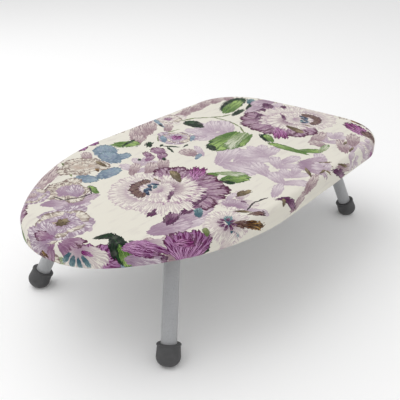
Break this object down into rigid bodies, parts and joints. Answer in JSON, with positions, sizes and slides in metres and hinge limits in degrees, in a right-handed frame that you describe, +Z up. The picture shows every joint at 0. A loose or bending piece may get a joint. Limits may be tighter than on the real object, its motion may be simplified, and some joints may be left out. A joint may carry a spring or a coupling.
{
  "type": "ironing board",
  "caption": "Tabletop ironing board with a rounded nose, a padded floral fitted cover and splayed tube legs that fold flat under the vented deck.",
  "frame": {"origin": "on the table top, under the middle of the board", "axes": "+Z up; +X along the board from the rounded nose to the square tail; +Y to the right of someone who stands at the tail and faces the nose"},
  "size_m": [0.5999, 0.35, 0.166],
  "materials": {
    "cover_fabric": "printed cotton sateen with a large floral print, slight sheen",
    "elastic": "woven white elastic",
    "foam": "open-cell foam",
    "deck_steel": "grey powder coat",
    "bracket_steel": "grey powder coat",
    "leg_paint": "satin silver-grey paint",
    "rivet": "bright rivet",
    "bush_nylon": "natural nylon",
    "foot_rubber": "dark grey moulded rubber"
  },
  "bodies": {
    "board": {"cover": "cover_fabric", "hem_elastic": "elastic", "foam_pad": "foam", "deck_mesh": "deck_steel", "rim_frame": "deck_steel", "cross_channel_front": "bracket_steel", "pivot_saddle_front_left": "bracket_steel", "pivot_bush_front_left": "bush_nylon", "leg_stop_front_left": "bracket_steel", "pivot_saddle_front_right": "bracket_steel", "pivot_bush_front_right": "bush_nylon", "leg_stop_front_right": "bracket_steel", "saddle_rivets_front": "rivet", "stop_rivets_front": "rivet", "cross_channel_rear": "bracket_steel", "pivot_saddle_rear_left": "bracket_steel", "pivot_bush_rear_left": "bush_nylon", "leg_stop_rear_left": "bracket_steel", "pivot_saddle_rear_right": "bracket_steel", "pivot_bush_rear_right": "bush_nylon", "leg_stop_rear_right": "bracket_steel", "saddle_rivets_rear": "rivet", "stop_rivets_rear": "rivet"},
    "front_legs": {"foot_front_left": "foot_rubber", "foot_front_right": "foot_rubber", "front_leg_frame": "leg_paint"},
    "rear_legs": {"foot_rear_left": "foot_rubber", "foot_rear_right": "foot_rubber", "rear_leg_frame": "leg_paint"}
  },
  "joints": [
    {"name": "front_fold", "type": "hinge", "parent": "board", "child": "front_legs", "pos_m": [-0.17011, 0, 0.139], "axis": [0, -1, 0], "range_deg": [0, 114]},
    {"name": "rear_fold", "type": "hinge", "parent": "board", "child": "rear_legs", "pos_m": [0.2215, 0, 0.139], "axis": [0, 1, 0], "range_deg": [0, 107]}
  ]
}
